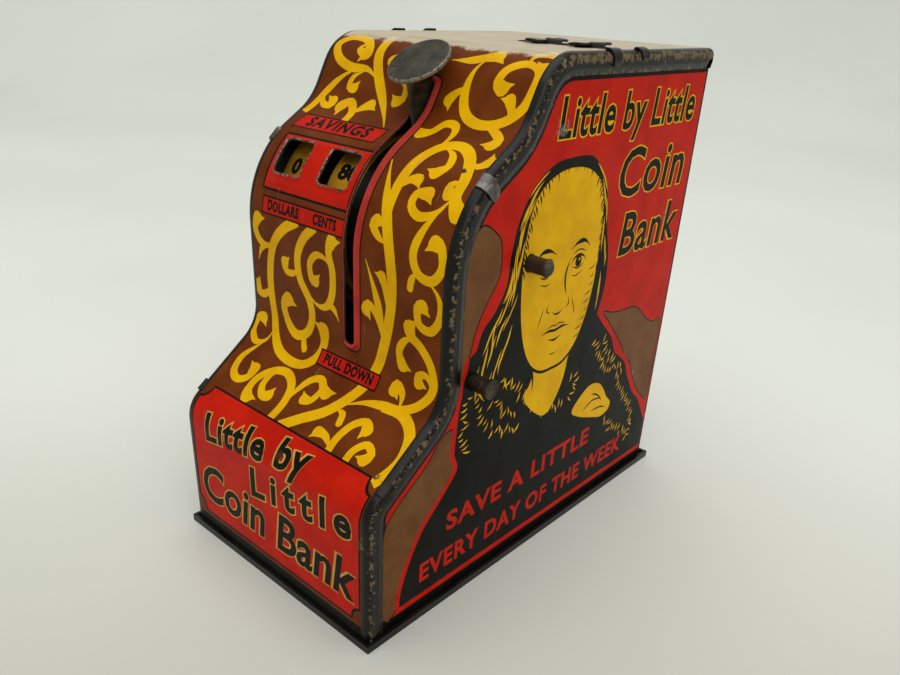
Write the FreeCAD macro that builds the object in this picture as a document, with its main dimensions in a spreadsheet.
import FreeCAD, Part
import Sketcher
import math
import os

# Register-shaped tin money box.
# Frame: origin at the centre of the footprint, on the surface the box stands on.
# +X is the box's right-hand side, the front faces -Y, +Z is up. Millimetres.

DIMENSIONS = (
    # casing
    ("body_width", 57.0, "over the cover's side flanges"),
    ("body_depth", 101.0, "front of the skirt to the back of the cover"),
    ("body_height", 102.0, "flat top above the ground"),
    ("skirt_bottom", 1.2, "lower edge of the tin body"),
    ("tin", 0.5, "sheet thickness"),
    ("bend", 1.2, "outside radius of a folded edge"),
    ("flange_drop", 3.8, "how far the cover laps over the sides"),
    # side outline: each corner's y, z and rounding
    ("toe_top", 30.4, "corner between the skirt and the apron"),
    ("toe_round", 7.0, ""),
    ("front_y", -31.9, "upright front face"),
    ("apron_top", 44.3, "corner between the apron and the upright face"),
    ("apron_round", 9.0, ""),
    ("brow_z", 78.8, "corner over the drums, concentric with the axle"),
    ("brow_round", 22.0, ""),
    ("neck_y", -14.9, "hollow between the brow and the crown"),
    ("neck_z", 89.3, ""),
    ("neck_round", 13.0, ""),
    ("crown_y", -8.15, "corner between the crown and the flat top"),
    ("crown_round", 10.0, ""),
    # shafts
    ("axle_y", -9.9, "main axle"),
    ("axle_z", 66.5, ""),
    ("shaft_y", -24.1, "lower shaft"),
    ("shaft_z", 47.0, ""),
    ("shaft_radius", 1.6, "both shafts"),
    ("shaft_overhang", 4.0, "beyond the body on each side"),
    ("axle_chamfer", 0.3, "at the main axle's ends"),
    ("head_ratio", 1.2, "lower shaft's peened head to its radius"),
    ("run_gap", 0.05, "running clearance, on the radius or at an end"),
    ("spacer_radius", 2.75, ""),
    ("lower_spacer_radius", 2.55, ""),
    ("hub_radius", 3.2, ""),
    # windows, panel and lever slot
    ("window_width", 8.0, ""),
    ("window_height", 7.2, ""),
    ("window_rim", 0.9, "width of the raised rim"),
    ("window_angle", 52.4, "from the vertical, forwards, about the main axle"),
    ("dollars_x", -17.9, "middle of the left window and drum"),
    ("cents_x", -4.4, "middle of the right window and drum"),
    ("panel_left", -23.6, "raised panel round the windows"),
    ("panel_right", 2.0, ""),
    ("panel_angle", 55.2, ""),
    ("panel_height", 11.6, ""),
    ("panel_raise", 0.25, ""),
    ("rim_raise", 0.5, ""),
    ("slot_x", 3.3, "middle of the lever slot"),
    ("slot_width", 2.8, ""),
    ("slot_bottom", 48.8, ""),
    ("slot_top", 95.2, ""),
    ("trim_width", 1.2, "raised trim round the slot"),
    # coin way
    ("chute_x", 15.6, "middle of the coin slot"),
    ("chute_y", 13.0, ""),
    ("chute_length", 22.8, "outside"),
    ("chute_depth", 4.2, "outside"),
    ("chute_bottom", 60.0, ""),
    ("chute_tab_width", 4.0, ""),
    ("chute_tab_reach", 3.4, ""),
    ("chute_tab_pitch", 10.0, ""),
    ("divider_y", 10.3, "front of the plate behind the works"),
    ("divider_top", 101.2, ""),
    # cover locking tabs
    ("lock_width", 3.6, ""),
    ("lock_thickness", 0.4, ""),
    ("lock_fold", 2.6, "length folded down on the side"),
    ("lock_lean", 41.4, "of the locks on the brow, from the vertical"),
    ("lock_front_y", 4.5, "locks on the flat top"),
    ("lock_rear_y", 18.0, ""),
    # number wheels and ratchets
    ("drum_radius", 19.0, ""),
    ("drum_width", 10.5, ""),
    ("drum_clear", 0.3, "between a drum and the sheet over it"),
    ("ratchet_tip", 11.0, ""),
    ("ratchet_root", 8.8, ""),
    ("star_tip", 8.3, ""),
    ("star_root", 6.4, ""),
    ("tooth_count", 10, ""),
    ("tooth_spread", 0.9, "share of the pitch under a tooth's sloping back"),
    ("tooth_sink", 0.9, "depth of a tooth's foot, as a share of the root radius"),
    ("wheel_thickness", 0.8, ""),
    ("finger_size", 1.2, ""),
    ("finger_radius", 9.1, ""),
    # lever
    ("lever_left", 2.8, "left face of the lever plate"),
    ("lever_plate", 1.0, ""),
    ("lever_lean", 9.0, "forwards from the vertical, at rest"),
    ("lever_reach", 32.6, "axle to the middle of the pad"),
    ("lever_half_foot", 3.0, "half the plate's width near the hub"),
    ("lever_half_neck", 1.7, "half the plate's width in the slot"),
    ("lever_neck", 26.0, "distance from the axle where the neck is narrowest"),
    ("lever_hub_wall", 0.4, "lever hub beyond the other hubs"),
    ("lever_tail", 3.6, "plate beyond the axle"),
    ("lever_shoulder", 15.0, "distance from the axle where the plate starts to narrow"),
    ("pad_root", 0.42, "half the plate's width at the pad, as a share of the pad's radius"),
    ("pad_radius", 6.1, ""),
    ("pad_thickness", 0.9, ""),
    ("pad_tilt", 32.9, "forwards from level"),
    ("pawl_pivot", 15.5, "axle to the drive pawl's pin"),
    ("pawl_pin_radius", 0.8, ""),
    ("pawl_head_ratio", 1.9, "pin's head to its radius"),
    ("pawl_eye", 2.0, ""),
    ("pawl_clear", 0.3, "from a pawl's tip to the teeth"),
    ("drive_pawl_lead", 22.0, "of the drive pawl's tip, forwards of the lever"),
    ("cents_pawl_angle", 164.0, "of the tip about the main axle, forwards from the top"),
    ("dollars_pawl_angle", 166.0, ""),
    ("shaft_eye", 3.2, "eye of a pawl on the lower shaft"),
    # springs
    ("spring_wire", 0.25, "wire radius"),
    ("spring_coil", 3.5, "mean coil radius of the lever spring"),
    ("pawl_spring_coil", 3.1, "mean coil radius of a pawl spring"),
    ("coil_pitch", 1.8, "in wire radii, so that the turns are one solid"),
    ("leg_ratio", 0.85, "leg to wire radius"),
    ("lever_spring_leg", 11.0, "front leg"),
    ("pawl_spring_leg", 4.0, ""),
    # base
    ("rim_proud", 0.8, "rim beyond the body"),
    ("rim_width", 0.7, "hem of the rim, clear of the body"),
    ("rim_height", 1.6, ""),
    ("base_under", 0.3, "underside of the plate above the ground"),
    ("base_upstand", 7.0, "top of the wall inside the body"),
    ("upstand_wall", 0.6, ""),
    ("hole_width", 24.0, "coin hole in the base"),
    ("hole_front", 14.0, ""),
    ("hole_back", 44.0, ""),
    ("door_half_width", 14.0, ""),
    ("door_front", 12.0, ""),
    ("door_back", 46.5, ""),
    ("door_travel", 27.0, ""),
    ("rail_width", 3.0, ""),
    ("rail_lap", 1.5, "rail over the door's edge"),
    ("rail_cap", 0.4, ""),
)

doc = FreeCAD.newDocument("tin_money_box")
sheet = doc.addObject("Spreadsheet::Sheet", "Dims")
for row, (alias, value, note) in enumerate(DIMENSIONS, start=1):
    sheet.set(f"A{row}", alias)
    sheet.set(f"B{row}", str(value))
    sheet.setAlias(f"B{row}", alias)
    sheet.set(f"C{row}", note)
doc.recompute()

VECTOR = FreeCAD.Vector
X_AXIS = VECTOR(1, 0, 0)
Y_AXIS = VECTOR(0, 1, 0)
FAR = 200.0
TINY = 1e-6
EYE_SIDES = 10
LEVER_SPRING_TURNS = 6
PAWL_SPRING_TURNS = 3
nodes = []


def dim(alias):
    """A driving dimension's value."""
    return float(sheet.get(alias))


def cell(text):
    """An expression in which each $name is a cell of the sheet."""
    return text.replace("$", "Dims.")


def bind(item, **properties):
    """Bind properties to sheet expressions; Base_x stands for Placement.Base.x."""
    for name, text in properties.items():
        path = name.replace("Base_", "Placement.Base.")
        item.setExpression(path, cell(text))


def keep(item, label):
    """List an object as one of the box's own pieces."""
    item.Label = label
    nodes.append(item)
    return item


# ---------------------------------------------------------------- primitives

def rod(name, radius, left, right, at_y="$axle_y", at_z="$axle_z"):
    """Cylinder along X between two x expressions."""
    item = doc.addObject("Part::Cylinder", name)
    item.Placement.Rotation = FreeCAD.Rotation(Y_AXIS, 90)
    bind(item, Radius=radius, Height=f"({right}) - ({left})", Base_x=left, Base_y=at_y, Base_z=at_z)
    return item


def block(name, x_from, x_to, y_from, y_to, z_from, z_to):
    """Box between pairs of expressions."""
    item = doc.addObject("Part::Box", name)
    bind(item, Length=f"({x_to}) - ({x_from})", Width=f"({y_to}) - ({y_from})",
         Height=f"({z_to}) - ({z_from})", Base_x=x_from, Base_y=y_from, Base_z=z_from)
    return item


def cut(name, base, tool):
    item = doc.addObject("Part::Cut", name)
    item.Base = base
    item.Tool = tool
    return item


def fuse(name, *shapes):
    item = doc.addObject("Part::MultiFuse", name)
    item.Shapes = list(shapes)
    return item


def tube(name, outer, inner, left, right, at_y="$axle_y", at_z="$axle_z"):
    """Hollow cylinder along X."""
    solid = rod(name + "_solid", outer, left, right, at_y, at_z)
    hole = rod(name + "_hole", inner, left, right, at_y, at_z)
    return cut(name, solid, hole)


# ------------------------------------------------------------------ sketches

def origin_plane(body, role):
    return next(f for f in body.Origin.OriginFeatures if f.Role == role)


def new_sketch(body, name, role):
    sketch = body.newObject("Sketcher::SketchObject", name)
    sketch.AttachmentSupport = (origin_plane(body, role), [""])
    sketch.MapMode = "FlatFace"
    return sketch


def add_polygon(sketch, points):
    """Closed polygon whose corners are pairs of sheet expressions, every corner dimensioned."""
    values = [(evaluate(u), evaluate(v)) for u, v in points]
    count = len(points)
    first = sketch.GeometryCount
    for index, (u, v) in enumerate(values):
        u_next, v_next = values[(index + 1) % count]
        sketch.addGeometry(Part.LineSegment(VECTOR(u, v, 0), VECTOR(u_next, v_next, 0)), False)
    for index in range(count):
        following = first + (index + 1) % count
        sketch.addConstraint(Sketcher.Constraint("Coincident", first + index, 2, following, 1))
    for index, (u_text, v_text) in enumerate(points):
        for kind, text, value in (("DistanceX", u_text, values[index][0]),
                                  ("DistanceY", v_text, values[index][1])):
            number = sketch.addConstraint(Sketcher.Constraint(kind, first + index, 1, value))
            sketch.setExpression(f"Constraints[{number}]", cell(text))


def add_circle(sketch, radius):
    """Circle about the sketch's origin."""
    index = sketch.GeometryCount
    sketch.addGeometry(Part.Circle(VECTOR(0, 0, 0), VECTOR(0, 0, 1), evaluate(radius)), False)
    sketch.addConstraint(Sketcher.Constraint("Coincident", index, 3, -1, 1))
    number = sketch.addConstraint(Sketcher.Constraint("Radius", index, evaluate(radius)))
    sketch.setExpression(f"Constraints[{number}]", cell(radius))


def evaluate(text):
    """Value of a sheet expression."""
    return float(sheet.evalExpression(cell(text)))


def pad(body, sketch, length, name):
    feature = body.newObject("PartDesign::Pad", name)
    feature.Profile = sketch
    bind(feature, Length=length)
    return feature


def pocket(body, sketch, name):
    """Cut a sketch right through, both ways."""
    feature = body.newObject("PartDesign::Pocket", name)
    feature.Profile = sketch
    feature.Type = "ThroughAll"
    feature.Midplane = True
    return feature


def plate_body(label, points, thickness, left, at_y, at_z, hole=""):
    """Flat piece of sheet in the YZ plane: an outline about a pivot, with a pivot hole."""
    body = doc.addObject("PartDesign::Body", label)
    outline = new_sketch(body, label + "_outline", "YZ_Plane")
    add_polygon(outline, points)
    pad(body, outline, thickness, label + "_pad")
    if hole:
        bore = new_sketch(body, label + "_bore", "YZ_Plane")
        add_circle(bore, hole)
        pocket(body, bore, label + "_pivot")
    bind(body, Base_x=left, Base_y=at_y, Base_z=at_z)
    return body


# ------------------------------------------------------------- side outline

def corners():
    """The side outline's corners from the skirt to the back: y, z, rounding."""
    half = dim("body_depth") / 2
    return [
        (-half, dim("skirt_bottom"), 0),
        (-half, dim("toe_top"), dim("toe_round")),
        (dim("front_y"), dim("apron_top"), dim("apron_round")),
        (dim("front_y"), dim("brow_z"), dim("brow_round")),
        (dim("neck_y"), dim("neck_z"), dim("neck_round")),
        (dim("crown_y"), dim("body_height"), dim("crown_round")),
        (half, dim("body_height"), 0),
        (half, dim("skirt_bottom"), 0),
    ]


def inset_corners(inset, bottom, back_inset):
    """The outline moved inwards by an inset, its roundings kept concentric."""
    points = corners()
    lines = []
    for (y0, z0, _), (y1, z1, _) in zip(points, points[1:]):
        length = math.hypot(y1 - y0, z1 - z0)
        along = ((y1 - y0) / length, (z1 - z0) / length)
        shift = back_inset if (y0 == y1 and y0 > 0) else inset
        lines.append(((y0 + along[1] * shift, z0 - along[0] * shift), along))
    moved = [(lines[0][0][0], bottom, 0)]
    for (start_a, along_a), (start_b, along_b), (_, _, rounding) in zip(lines, lines[1:], points[1:]):
        cross = along_a[0] * along_b[1] - along_a[1] * along_b[0]
        gap = (start_b[0] - start_a[0], start_b[1] - start_a[1])
        reach = (gap[0] * along_b[1] - gap[1] * along_b[0]) / cross
        corner = (start_a[0] + along_a[0] * reach, start_a[1] + along_a[1] * reach)
        turned = rounding - inset if cross < 0 else rounding + inset
        moved.append((*corner, turned if rounding else 0))
    moved.append((lines[-1][0][0], bottom, 0))
    return moved


def rounded_edges(points, at_x):
    """Edges of a closed outline with arcs at its rounded corners."""
    edges = []
    count = len(points)
    leave = []
    for index, (y, z, rounding) in enumerate(points):
        here = VECTOR(at_x, y, z)
        if not rounding:
            leave.append((here, here, None))
            continue
        back = VECTOR(at_x, *points[index - 1][:2]) - here
        ahead = VECTOR(at_x, *points[(index + 1) % count][:2]) - here
        back.normalize()
        ahead.normalize()
        half_angle = back.getAngle(ahead) / 2
        start = here + back * (rounding / math.tan(half_angle))
        end = here + ahead * (rounding / math.tan(half_angle))
        middle_way = back + ahead
        middle_way.normalize()
        middle = here + middle_way * (rounding / math.sin(half_angle) - rounding)
        leave.append((start, end, middle))
    for index, (start, end, middle) in enumerate(leave):
        if middle is not None:
            edges.append(Part.Arc(start, middle, end).toShape())
        following = leave[(index + 1) % count][0]
        edges.append(Part.LineSegment(end, following).toShape())
    return edges


def outline_solid(inset, left, right, bottom=None, back_inset=None):
    """The inset outline as a solid between two x values."""
    floor = dim("skirt_bottom") if bottom is None else bottom
    back = inset if back_inset is None else back_inset
    edges = rounded_edges(inset_corners(inset, floor, back), left)
    face = Part.Face(Part.Wire(edges))
    return face.extrude(X_AXIS * (right - left))


def rounded_sides(solid, half_width, radius):
    """Round the edges where the side faces meet the bent sheet, leaving the bottom sharp."""
    wanted = []
    lowest = solid.BoundBox.ZMin
    for edge in solid.Edges:
        box = edge.BoundBox
        on_side = box.XLength < TINY and abs(abs(box.XMin) - half_width) < TINY
        if on_side and box.ZMax > lowest + TINY:
            wanted.append(edge)
    return solid.makeFillet(radius, wanted)


def box_between(low, high):
    size = [b - a for a, b in zip(low, high)]
    return Part.makeBox(*size, VECTOR(*low))


def wedge_box(x_from, x_to, angle, half_height, near, far):
    """Box square to a radius of the main axle that leans forwards by an angle."""
    box = box_between((x_from, -half_height, near), (x_to, half_height, far))
    box.rotate(VECTOR(0, 0, 0), X_AXIS, angle)
    box.translate(VECTOR(0, dim("axle_y"), dim("axle_z")))
    return box


def brow_skin(raise_by):
    """Sheet-thin shell standing on the rounded brow."""
    at = VECTOR(-FAR, dim("axle_y"), dim("axle_z"))
    outer = Part.makeCylinder(dim("brow_round") + raise_by, 2 * FAR, at, X_AXIS)
    inner = Part.makeCylinder(dim("brow_round"), 2 * FAR, at, X_AXIS)
    return outer.cut(inner)


# --------------------------------------------------------------- lock tabs

def lock_places():
    """Where the cover is locked: a point of the outline and the direction out of the sheet."""
    toe_y, toe_z = -dim("body_depth") / 2, dim("toe_top")
    rise = math.atan2(dim("apron_top") - toe_z, dim("front_y") - toe_y)
    toe_length = dim("toe_round") * math.tan((math.pi / 2 - rise) / 2) + dim("lock_width") / 2
    apron = (toe_y + toe_length * math.cos(rise), toe_z + toe_length * math.sin(rise), math.degrees(rise))
    lean = dim("lock_lean")
    brow = (dim("axle_y") - dim("brow_round") * math.sin(math.radians(lean)),
            dim("axle_z") + dim("brow_round") * math.cos(math.radians(lean)), lean)
    top = [(dim(name), dim("body_height"), 0.0) for name in ("lock_front_y", "lock_rear_y")]
    return [apron, brow, *top]


def placed(solid, place, side):
    """Move a solid made at the top of the right-hand edge to a lock place on either side."""
    y, z, lean = place
    item = solid.copy()
    if side < 0:
        item = item.mirror(VECTOR(0, 0, 0), X_AXIS)
    item.rotate(VECTOR(0, 0, 0), X_AXIS, lean)
    item.translate(VECTOR(0, y, z))
    return item


def lock_tab():
    """Strip up through the cover, over its folded edge and down the side."""
    outer_x, strip, half = dim("body_width") / 2, dim("lock_thickness"), dim("lock_width") / 2
    inner_x = outer_x - 2 * dim("tin") - strip
    riser = box_between((inner_x, -half, -dim("flange_drop")), (inner_x + strip, half, strip))
    bridge = box_between((inner_x, -half, 0), (outer_x + strip, half, strip))
    fold = box_between((outer_x, -half, -dim("lock_fold")), (outer_x + strip, half, strip))
    return riser.fuse([bridge, fold]).removeSplitter()


def lock_slit():
    """Slit in the cover that a lock tab passes through."""
    strip, half, gap = dim("lock_thickness"), dim("lock_width") / 2, dim("run_gap")
    inner_x = dim("body_width") / 2 - 2 * dim("tin") - strip
    return box_between((inner_x - gap, -half - gap, -2 * dim("bend")), (inner_x + strip + gap, half + gap, 1))


# ------------------------------------------------------------------- casing

def make_front_top_cover():
    """Bent sheet: skirt, apron, front, brow, crown and top, with flanges over the sides and back."""
    half, tin, bend = dim("body_width") / 2, dim("tin"), dim("bend")
    outer = rounded_sides(outline_solid(0, -half, half), half, bend)
    inner_half = half - tin
    inner = rounded_sides(outline_solid(tin, -inner_half, inner_half, 0), inner_half, bend - tin)
    shell = outer.cut(inner)
    lap = dim("flange_drop")
    shell = shell.cut(outline_solid(lap, -FAR, FAR, 0, -FAR))
    shell = shell.cut(outline_solid(lap, -inner_half + bend, inner_half - bend, 0, -FAR))

    slot_half = dim("slot_width") / 2
    slot_x, low, high = dim("slot_x"), dim("slot_bottom"), dim("slot_top")
    trim, lift = dim("trim_width"), dim("rim_raise")
    band = outline_solid(-lift, slot_x - slot_half - trim, slot_x + slot_half + trim, 0)
    band = band.cut(outline_solid(0, -FAR, FAR, -1, 0))
    band = band.common(box_between((-FAR, -FAR, low - trim), (FAR, dim("crown_y"), high + trim)))
    shell = shell.fuse(band)

    panel = brow_skin(dim("panel_raise")).common(
        wedge_box(dim("panel_left"), dim("panel_right"), dim("panel_angle"), dim("panel_height") / 2,
                  dim("brow_round") / 2, FAR / 2))
    shell = shell.fuse(panel)
    width, height, rim = dim("window_width") / 2, dim("window_height") / 2, dim("window_rim")
    near = dim("drum_radius") + dim("drum_clear")
    for middle in (dim("dollars_x"), dim("cents_x")):
        frame = wedge_box(middle - width - rim, middle + width + rim, dim("window_angle"),
                          height + rim, near, FAR / 2)
        shell = shell.fuse(brow_skin(lift).common(frame))
    for middle in (dim("dollars_x"), dim("cents_x")):
        shell = shell.cut(wedge_box(middle - width, middle + width, dim("window_angle"), height,
                                    near, FAR / 2))
    shell = shell.cut(box_between((slot_x - slot_half, -FAR, low),
                                  (slot_x + slot_half, dim("crown_y"), high)))

    long_half, deep_half = dim("chute_length") / 2, dim("chute_depth") / 2
    shell = shell.cut(box_between(
        (dim("chute_x") - long_half, dim("chute_y") - deep_half, dim("body_height") - 2),
        (dim("chute_x") + long_half, dim("chute_y") + deep_half, dim("body_height") + 1)))
    for place in lock_places():
        for side in (1, -1):
            shell = shell.cut(placed(lock_slit(), place, side))
    item = doc.addObject("Part::Feature", "front_top_cover")
    item.Shape = shell.removeSplitter()
    return keep(item, "front_top_cover")


def make_side_back_shell():
    """Both sides and the back folded from one blank, with the tabs that lock the cover."""
    tin, bend = dim("tin"), dim("bend")
    half = dim("body_width") / 2 - tin
    back = dim("body_depth") / 2 - tin
    outer = outline_solid(bend, -half, half, dim("skirt_bottom"), tin)
    upright = [e for e in outer.Edges if abs(e.BoundBox.YMin - back) < TINY and e.BoundBox.XLength < TINY
               and e.BoundBox.ZLength > 1]
    outer = outer.makeFillet(bend, upright)
    hollow = box_between((-half + tin, -FAR, 0), (half - tin, back - tin, FAR))
    fold = [e for e in hollow.Edges if abs(e.BoundBox.YMin - (back - tin)) < TINY and e.BoundBox.ZLength > 1]
    hollow = hollow.makeFillet(bend - tin, fold)
    shell = outer.cut(hollow)
    for y, z in ((dim("axle_y"), dim("axle_z")), (dim("shaft_y"), dim("shaft_z"))):
        shell = shell.cut(Part.makeCylinder(dim("shaft_radius"), 2 * FAR, VECTOR(-FAR, y, z), X_AXIS))
    for place in lock_places():
        for side in (1, -1):
            shell = shell.fuse(placed(lock_tab(), place, side))
    item = doc.addObject("Part::Feature", "side_back_shell")
    item.Shape = shell.removeSplitter()
    return keep(item, "side_back_shell")


def rectangle(x_half, y_front, y_back):
    """Corners of a rectangle that is symmetric in X."""
    return [(f"-({x_half})", y_front), (x_half, y_front), (x_half, y_back), (f"-({x_half})", y_back)]


def upright_edges(shape, x_abs, y_values):
    """Names of the edges along Z that stand at given places."""
    found = []
    for number, edge in enumerate(shape.Edges, start=1):
        box = edge.BoundBox
        upright = box.XLength < TINY and box.YLength < TINY
        if upright and abs(abs(box.XMin) - x_abs) < TINY and min(abs(box.YMin - y) for y in y_values) < TINY:
            found.append(f"Edge{number}")
    return found


def make_base_plate():
    """Pan under the body: hemmed rim, plate, wall inside the body, coin hole."""
    body = doc.addObject("PartDesign::Body", "base_plate")
    rim_x, rim_y = "$body_width / 2 + $rim_proud", "$body_depth / 2 + $rim_proud"
    rim = new_sketch(body, "rim_outline", "XY_Plane")
    add_polygon(rim, rectangle(rim_x, f"-({rim_y})", rim_y))
    pad(body, rim, "$rim_height", "rim_pad")

    inner = rectangle(f"{rim_x} - $rim_width", f"-({rim_y} - $rim_width)", f"{rim_y} - $rim_width")
    top = new_sketch(body, "top_recess", "XY_Plane")
    bind_offset(top, "$rim_height")
    add_polygon(top, inner)
    recess = body.newObject("PartDesign::Pocket", "top_pocket")
    recess.Profile = top
    bind(recess, Length="$rim_height - $base_under - $tin")

    under = new_sketch(body, "under_recess", "XY_Plane")
    add_polygon(under, inner)
    below = body.newObject("PartDesign::Pocket", "under_pocket")
    below.Profile = under
    below.Reversed = True
    bind(below, Length="$base_under")

    wall = new_sketch(body, "upstand_outline", "XY_Plane")
    bind_offset(wall, "$base_under + $tin")
    wall_x, wall_y = "$body_width / 2 - 2 * $tin", "-($body_depth / 2 - $tin)"
    wall_back = "$body_depth / 2 - 2 * $tin"
    add_polygon(wall, rectangle(wall_x, wall_y, wall_back))
    add_polygon(wall, rectangle(f"{wall_x} - $upstand_wall", f"{wall_y} + $upstand_wall",
                                f"{wall_back} - $upstand_wall"))
    pad(body, wall, "$base_upstand - $base_under - $tin", "upstand_pad")
    doc.recompute()
    corner_names = upright_edges(body.Shape, evaluate(wall_x), [evaluate(wall_y), evaluate(wall_back)])
    wall_pad = body.Tip
    rounding = body.newObject("PartDesign::Fillet", "upstand_corners")
    rounding.Base = (wall_pad, corner_names)
    bind(rounding, Radius="$bend")

    hole = new_sketch(body, "coin_hole", "XY_Plane")
    add_polygon(hole, rectangle("$hole_width / 2", "$hole_front", "$hole_back"))
    pocket(body, hole, "coin_hole_cut")
    return keep(body, "base_plate")


def bind_offset(sketch, text):
    """Lift a sketch off its plane by a sheet expression."""
    sketch.AttachmentOffset = FreeCAD.Placement(VECTOR(0, 0, evaluate(text)), FreeCAD.Rotation())
    sketch.setExpression("AttachmentOffset.Base.z", cell(text))


def make_coin_door():
    """Sliding plate over the coin hole, with a finger lip in the hole."""
    top = "$base_under + $tin"
    plate = block("door_plate", "-$door_half_width", "$door_half_width", "$door_front", "$door_back",
                  top, f"{top} + $tin")
    lip = block("door_lip", "-$hole_width / 4", "$hole_width / 4", "$hole_back - $rail_width",
                "$hole_back - $rail_width / 2", "$base_under + $run_gap", top)
    return keep(fuse("coin_door", plate, lip), "coin_door")


def make_door_rails():
    """Two folded strips that guide the door."""
    floor = "$base_under + $tin"
    door_top = f"{floor} + $tin + $run_gap"
    rails = []
    for side, sign in (("right", ""), ("left", "-")):
        near = "($door_half_width + $run_gap)"
        far = f"({near} + $rail_width)"
        lap = "($door_half_width - $rail_lap)"
        foot_x = (near, far) if not sign else (f"-{far}", f"-{near}")
        cap_x = (lap, far) if not sign else (f"-{far}", f"-{lap}")
        foot = block(f"{side}_rail_foot", *foot_x, "$door_front - $door_travel", "$door_back", floor,
                     door_top)
        cap = block(f"{side}_rail_cap", *cap_x, "$door_front - $door_travel", "$door_back", door_top,
                    f"{door_top} + $rail_cap")
        rails.append(fuse(f"{side}_rail", foot, cap))
    doc.recompute()
    item = doc.addObject("Part::Compound", "door_rails")
    item.Links = rails
    return keep(item, "door_rails")


def make_divider_plate():
    half = "$body_width / 2 - 2 * $tin"
    return keep(block("divider_plate", f"-({half})", half, "$divider_y", "$divider_y + $tin",
                      "$base_upstand", "$divider_top"), "divider_plate")


def make_coin_chute():
    """Flat tin tube under the coin slot, its tabs bent over the top of the box."""
    outer = block("chute_outer", "$chute_x - $chute_length / 2", "$chute_x + $chute_length / 2",
                  "$chute_y - $chute_depth / 2", "$chute_y + $chute_depth / 2", "$chute_bottom",
                  "$body_height")
    tabs = []
    for row, sign in (("front", "-"), ("back", "+")):
        for column, shift in (("left", "-"), ("right", "+")):
            middle = f"$chute_x {shift} $chute_tab_pitch / 2"
            wall = f"$chute_y {sign} $chute_depth / 2"
            if sign == "-":
                span = (f"{wall} - $chute_tab_reach", f"{wall} + $tin")
            else:
                span = (f"{wall} - $tin", f"{wall} + $chute_tab_reach")
            tabs.append(block(f"chute_tab_{row}_{column}", f"{middle} - $chute_tab_width / 2",
                              f"{middle} + $chute_tab_width / 2", *span, "$body_height",
                              "$body_height + $tin"))
    solid = fuse("chute_solid", outer, *tabs)
    bore = block("chute_bore", "$chute_x - $chute_length / 2 + $tin", "$chute_x + $chute_length / 2 - $tin",
                 "$chute_y - $chute_depth / 2 + $tin", "$chute_y + $chute_depth / 2 - $tin",
                 "$chute_bottom - 1", "$body_height + 1")
    return keep(cut("coin_chute", solid, bore), "coin_chute")


# ------------------------------------------------------------ shafts, spacers

def make_shafts():
    left = "-($body_width / 2 + $shaft_overhang)"
    right = "$body_width / 2 + $shaft_overhang"
    axle = rod("axle_rod", "$shaft_radius", left, right)
    axle_ends = doc.addObject("Part::Chamfer", "main_axle")
    axle_ends.Base = axle
    doc.recompute()
    size = dim("axle_chamfer")
    axle_ends.Edges = [(number, size, size) for number, edge in enumerate(axle.Shape.Edges, start=1)
                       if edge.Closed and edge.BoundBox.XLength < TINY]
    keep(axle_ends, "main_axle")
    core = rod("shaft_rod", "$shaft_radius", left, right, "$shaft_y", "$shaft_z")
    heads = []
    for side, start, end in (("left", left, f"{left} + $tin"), ("right", f"{right} - $tin", right)):
        heads.append(rod(f"{side}_peened_head", "$shaft_radius * $head_ratio", start, end,
                         "$shaft_y", "$shaft_z"))
    keep(fuse("lower_shaft", core, *heads), "lower_shaft")


def make_spacers():
    """Tubes that hold the wheels, the lever and the pawls in their places along the shafts."""
    wall = "$body_width / 2 - 2 * $tin"
    wheel = "$wheel_thickness"
    main = (
        ("left_spacer", f"-({wall})", "$dollars_x - $drum_width / 2 - $run_gap"),
        ("middle_washer", f"{STAR_RIGHT} + $run_gap", "$cents_x - $drum_width / 2 - $run_gap"),
        ("right_spacer", f"{LEVER_HUB_RIGHT} + $run_gap", wall),
    )
    for name, left, right in main:
        keep(tube(name, "$spacer_radius", "$shaft_radius", left, right), name)
    lower = (
        ("lower_left_spacer", f"-({wall})", f"{STAR_RIGHT} - {wheel} - $run_gap"),
        ("lower_middle_spacer", f"{STAR_RIGHT} + $run_gap", f"{RATCHET_LEFT} - $run_gap"),
        ("lower_right_spacer", f"{RATCHET_LEFT} + {wheel} + $run_gap", wall),
    )
    for name, left, right in lower:
        keep(tube(name, "$lower_spacer_radius", "$shaft_radius", left, right, "$shaft_y", "$shaft_z"), name)


# ------------------------------------------------------------- number wheels

RATCHET_LEFT = "($cents_x + $drum_width / 2 + 2 * $run_gap)"
STAR_RIGHT = "($dollars_x + $drum_width / 2 + $wheel_thickness + 2 * $run_gap)"
LEVER_HUB_RIGHT = "($lever_left + $lever_plate + $wheel_thickness)"
LEAN = "($lever_lean * 1 deg)"
PAD_TILT = "($pad_tilt * 1 deg)"
PAWL_PIVOT = (f"$axle_y - $pawl_pivot * sin{LEAN}", f"$axle_z + $pawl_pivot * cos{LEAN}")


def make_drum(name, middle):
    """Tin drum: printed rim and a web on its right-hand side."""
    left, right = f"{middle} - $drum_width / 2", f"{middle} + $drum_width / 2"
    solid = rod(name + "_blank", "$drum_radius", left, right)
    hollow = rod(name + "_hollow", "$drum_radius - $tin", left, f"{right} - $tin")
    bore = rod(name + "_bore", "$hub_radius", left, right)
    cup = cut(name + "_cup", solid, hollow)
    return keep(cut(name, cup, bore), name)


def make_hub(name, left, right):
    """Bush on which a drum turns."""
    return keep(tube(name, "$hub_radius", "$shaft_radius + $run_gap", left, right), name)


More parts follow.
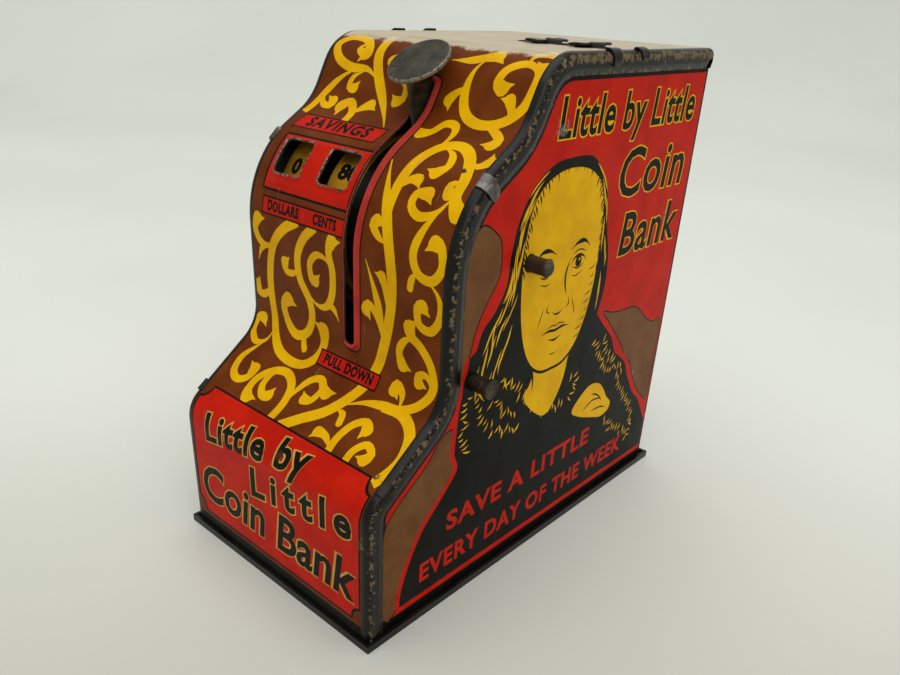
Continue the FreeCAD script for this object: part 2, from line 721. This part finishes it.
def make_toothed_wheel(name, tip, root, left):
    """Saw-toothed wheel about the main axle; each tooth's steep side faces backwards at the top."""
    body = doc.addObject("PartDesign::Body", name)
    disc = new_sketch(body, name + "_disc", "YZ_Plane")
    add_circle(disc, root)
    pad(body, disc, "$wheel_thickness", name + "_disc_pad")
    tooth = new_sketch(body, name + "_tooth", "YZ_Plane")
    spread = "360 deg / $tooth_count * $tooth_spread"
    sink = f"({root} * $tooth_sink)"
    add_polygon(tooth, [("0", sink), ("0", tip),
                        (f"-{sink} * sin({spread})", f"{sink} * cos({spread})")])
    tooth_pad = pad(body, tooth, "$wheel_thickness", name + "_tooth_pad")
    pattern = body.newObject("PartDesign::PolarPattern", name + "_teeth")
    pattern.Originals = [tooth_pad]
    pattern.Axis = (origin_plane(body, "X_Axis"), [""])
    pattern.Angle = 360
    pattern.Occurrences = int(dim("tooth_count"))
    body.Tip = pattern
    doc.recompute()
    bore = new_sketch(body, name + "_bore", "YZ_Plane")
    add_circle(bore, "$hub_radius")
    pocket(body, bore, name + "_bore_cut")
    bind(body, Base_x=left, Base_y="$axle_y", Base_z="$axle_z")
    return keep(body, name)


def make_carry_finger():
    """Bar from the cents drum's web towards the dollars star."""
    half = "$finger_size / 2"
    return keep(block("carry_finger", f"{STAR_RIGHT} + 2 * $run_gap", "$cents_x + $drum_width / 2 - $tin",
                      f"$axle_y - {half}", f"$axle_y + {half}",
                      f"$axle_z + $finger_radius - {half}", f"$axle_z + $finger_radius + {half}"),
                "carry_finger")


# --------------------------------------------------------- lever and pawls

def lever_point(reach, across):
    """Point of the lever plate in the YZ plane: distance from the axle, and sideways forwards."""
    return (f"-({reach}) * sin({LEAN}) - ({across}) * cos({LEAN})",
            f"({reach}) * cos({LEAN}) - ({across}) * sin({LEAN})")


def make_lever():
    """Stamped plate on a hub, with a round thumb pad bent over its end."""
    foot, neck, pad_foot = "$lever_half_foot", "$lever_half_neck", "$pad_radius * $pad_root"
    reach_pad = "$lever_reach - $pad_thickness / 2"
    lean_in = f"$pad_radius * $pad_root * tan({PAD_TILT} - {LEAN})"
    outline = [
        lever_point("-$lever_tail", f"-{foot}"),
        lever_point("-$lever_tail", foot),
        lever_point("$lever_shoulder", foot),
        lever_point("$lever_neck", neck),
        lever_point(f"{reach_pad} - {lean_in}", pad_foot),
        lever_point(f"{reach_pad} + {lean_in}", f"-{pad_foot}"),
        lever_point("$lever_neck", f"-{neck}"),
        lever_point("$lever_shoulder", f"-{foot}"),
    ]
    plate = plate_body("lever_plate", outline, "$lever_plate", "$lever_left", "$axle_y", "$axle_z")
    hub = rod("lever_hub", "$hub_radius + $lever_hub_wall", f"{RATCHET_LEFT} + $wheel_thickness + $run_gap",
              LEVER_HUB_RIGHT)
    disc = doc.addObject("Part::Cylinder", "lever_pad")
    disc.Placement.Rotation = FreeCAD.Rotation(X_AXIS, dim("pad_tilt"))
    half_pad = "$pad_thickness / 2"
    bind(disc, Radius="$pad_radius", Height="$pad_thickness",
         Base_x="$lever_left + $lever_plate / 2",
         Base_y=f"$axle_y - $lever_reach * sin{LEAN} + {half_pad} * sin{PAD_TILT}",
         Base_z=f"$axle_z + $lever_reach * cos{LEAN} - {half_pad} * cos{PAD_TILT}")
    solid = fuse("lever_solid", plate, hub, disc)
    bore = rod("lever_bore", "$shaft_radius + $run_gap", "-$body_width / 2", "$body_width / 2")
    pin_hole = rod("pin_hole", "$pawl_pin_radius", "-$body_width / 2", "$body_width / 2", *PAWL_PIVOT)
    return keep(cut("lever", solid, fuse("lever_holes", bore, pin_hole)), "lever")


def pawl_outline(eye, tip_y, tip_z):
    """Eye about the pivot and a nose that narrows to a tip given from the pivot."""
    heading = f"atan2({tip_z}; {tip_y})"
    points = []
    for step in range(EYE_SIDES + 1):
        turn = f"({heading} + 90 deg + {180.0 * step / EYE_SIDES} deg)"
        points.append((f"{eye} * cos({turn})", f"{eye} * sin({turn})"))
    points.append((tip_y, tip_z))
    return points


def make_drive_pawl():
    """Pawl on the lever, held clear of the ratchet until a coin presses it in."""
    tip_angle = "(($lever_lean + $drive_pawl_lead) * 1 deg)"
    tip_radius = "($ratchet_tip + $pawl_clear)"
    tip_y = f"(-{tip_radius} * sin{tip_angle} + $pawl_pivot * sin{LEAN})"
    tip_z = f"({tip_radius} * cos{tip_angle} - $pawl_pivot * cos{LEAN})"
    body = plate_body("drive_pawl", pawl_outline("$pawl_eye", tip_y, tip_z), "$wheel_thickness",
                      RATCHET_LEFT, *PAWL_PIVOT, hole="$pawl_pin_radius + $run_gap")
    keep(body, "drive_pawl")
    pin = rod("pin_shank", "$pawl_pin_radius", f"{RATCHET_LEFT} - $run_gap", "$lever_left + $lever_plate",
              *PAWL_PIVOT)
    head = rod("pin_head", "$pawl_pin_radius * $pawl_head_ratio", "$lever_left + $lever_plate",
               "$lever_left + $lever_plate + $tin", *PAWL_PIVOT)
    keep(fuse("drive_pawl_pin", pin, head), "drive_pawl_pin")


def make_holding_pawl(name, tip, sweep, left):
    """Pawl on the lower shaft whose tip stands just clear of a wheel's teeth."""
    tip_y = f"($axle_y - {tip} * sin({sweep} * 1 deg) - $shaft_y)"
    tip_z = f"($axle_z + {tip} * cos({sweep} * 1 deg) - $shaft_z)"
    body = plate_body(name, pawl_outline("$shaft_eye", tip_y, tip_z), "$wheel_thickness", left,
                      "$shaft_y", "$shaft_z", hole="$shaft_radius + $run_gap")
    return keep(body, name)


# ------------------------------------------------------------------- springs

def make_torsion_spring(name, coil_radius, left, turns, at_y, at_z, legs):
    """Close-wound torsion spring along X, each turn a ring, with legs up and backwards."""
    pitch = "$spring_wire * $coil_pitch"
    last = f"{left} + {turns - 1} * {pitch}"
    pieces = []
    for turn in range(turns):
        ring = doc.addObject("Part::Torus", f"{name}_turn_{turn}")
        ring.Placement.Rotation = FreeCAD.Rotation(Y_AXIS, 90)
        bind(ring, Radius1=coil_radius, Radius2="$spring_wire", Base_x=f"{left} + {turn} * {pitch}",
             Base_y=at_y, Base_z=at_z)
        pieces.append(ring)
    up = doc.addObject("Part::Cylinder", name + "_leg_up")
    bind(up, Radius="$spring_wire * $leg_ratio", Height=legs[0], Base_x=left,
         Base_y=f"{at_y} - {coil_radius}", Base_z=at_z)
    rear = doc.addObject("Part::Cylinder", name + "_leg_back")
    rear.Placement.Rotation = FreeCAD.Rotation(X_AXIS, -90)
    bind(rear, Radius="$spring_wire * $leg_ratio", Height=legs[1], Base_x=last, Base_y=at_y,
         Base_z=f"{at_z} - {coil_radius}")
    return keep(fuse(name, up, rear, *pieces), name)


# --------------------------------------------------------------------- build

def build():
    make_front_top_cover()
    make_side_back_shell()
    make_base_plate()
    make_coin_door()
    make_door_rails()
    make_divider_plate()
    make_coin_chute()
    make_shafts()
    make_spacers()
    make_drum("dollars_drum", "$dollars_x")
    make_drum("cents_drum", "$cents_x")
    make_hub("dollars_hub", "$dollars_x - $drum_width / 2", STAR_RIGHT)
    make_hub("cents_hub", "$cents_x - $drum_width / 2", f"{RATCHET_LEFT} + $wheel_thickness")
    make_toothed_wheel("cents_ratchet", "$ratchet_tip", "$ratchet_root", RATCHET_LEFT)
    make_toothed_wheel("dollars_star", "$star_tip", "$star_root", f"{STAR_RIGHT} - $wheel_thickness")
    make_carry_finger()
    make_lever()
    make_drive_pawl()
    make_holding_pawl("cents_pawl", "($ratchet_tip + $pawl_clear)", "$cents_pawl_angle", RATCHET_LEFT)
    make_holding_pawl("dollars_pawl", "($star_tip + $pawl_clear)", "$dollars_pawl_angle",
                      f"{STAR_RIGHT} - $wheel_thickness")
    make_torsion_spring("lever_spring", "$spring_coil", f"({LEVER_HUB_RIGHT} + $spring_wire * 2)",
                        LEVER_SPRING_TURNS, "$axle_y", "$axle_z",
                        ("$lever_spring_leg", "$divider_y - $axle_y"))
    legs = ("$pawl_spring_leg", "$pawl_spring_leg")
    make_torsion_spring("cents_pawl_spring", "$pawl_spring_coil",
                        f"({RATCHET_LEFT} + $wheel_thickness + $spring_wire * 2)",
                        PAWL_SPRING_TURNS, "$shaft_y", "$shaft_z", legs)
    make_torsion_spring("dollars_pawl_spring", "$pawl_spring_coil", f"({STAR_RIGHT} + $spring_wire * 2)",
                        PAWL_SPRING_TURNS, "$shaft_y", "$shaft_z", legs)


def check():
    """Stop if any object failed, or any piece is missing or not a valid solid."""
    doc.recompute()
    for item in doc.Objects:
        if "Invalid" in item.State or "Error" in item.State:
            raise RuntimeError(f"{item.Name} failed: {item.State}")
    for item in nodes:
        shape = item.Shape
        if shape.isNull() or not shape.isValid() or not shape.Solids:
            raise RuntimeError(f"{item.Label} has no valid solid")


def export():
    os.makedirs("parts", exist_ok=True)
    for item in nodes:
        item.Shape.exportStep(f"parts/{item.Label}.step")
        print(f"{item.Label}: {item.Shape.Volume:.2f} mm3, {len(item.Shape.Solids)} solid(s)")


build()
check()
export()
